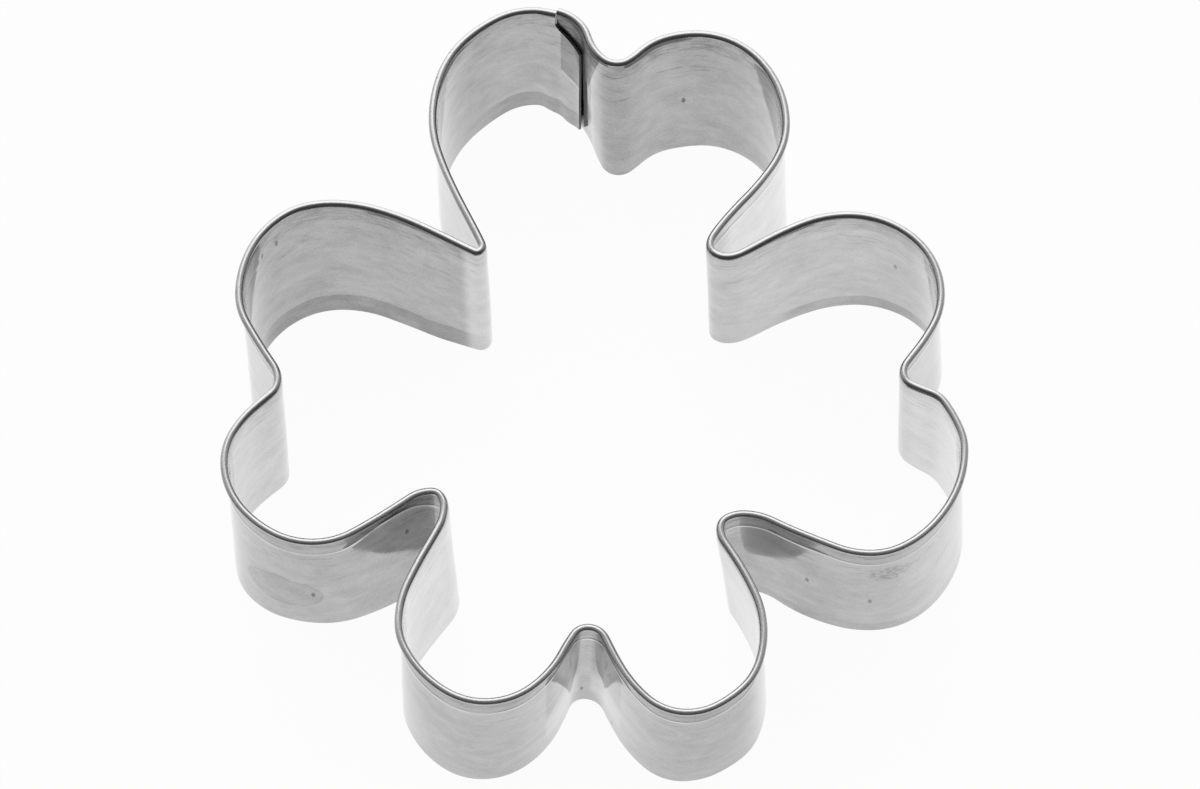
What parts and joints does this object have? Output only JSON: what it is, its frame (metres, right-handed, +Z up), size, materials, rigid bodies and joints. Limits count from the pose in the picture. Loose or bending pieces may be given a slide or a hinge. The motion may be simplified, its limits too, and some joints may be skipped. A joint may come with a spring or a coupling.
{
  "type": "cookie cutter",
  "caption": "Open clover-shaped cookie cutter bent from one bright steel strip, with a rolled top rim to press on, a thin cutting edge below and a spot-welded lap.",
  "frame": {"origin": "centre of the bounding box, on the plane of the cutting edge that the cutter rests on", "axes": "+Z up through the open clover to the rolled rim, +Y towards the leaf with the lapped ends, +X to the right of it seen from above"},
  "size_m": [0.0662, 0.0672, 0.022],
  "materials": {
    "steel_strip": "bright rolled sheet",
    "weld_nugget": "dull, as welded"
  },
  "bodies": {
    "root": {"cutter_band": "steel_strip", "rolled_rim": "steel_strip", "spot_welds": "weld_nugget"}
  },
  "joints": []
}
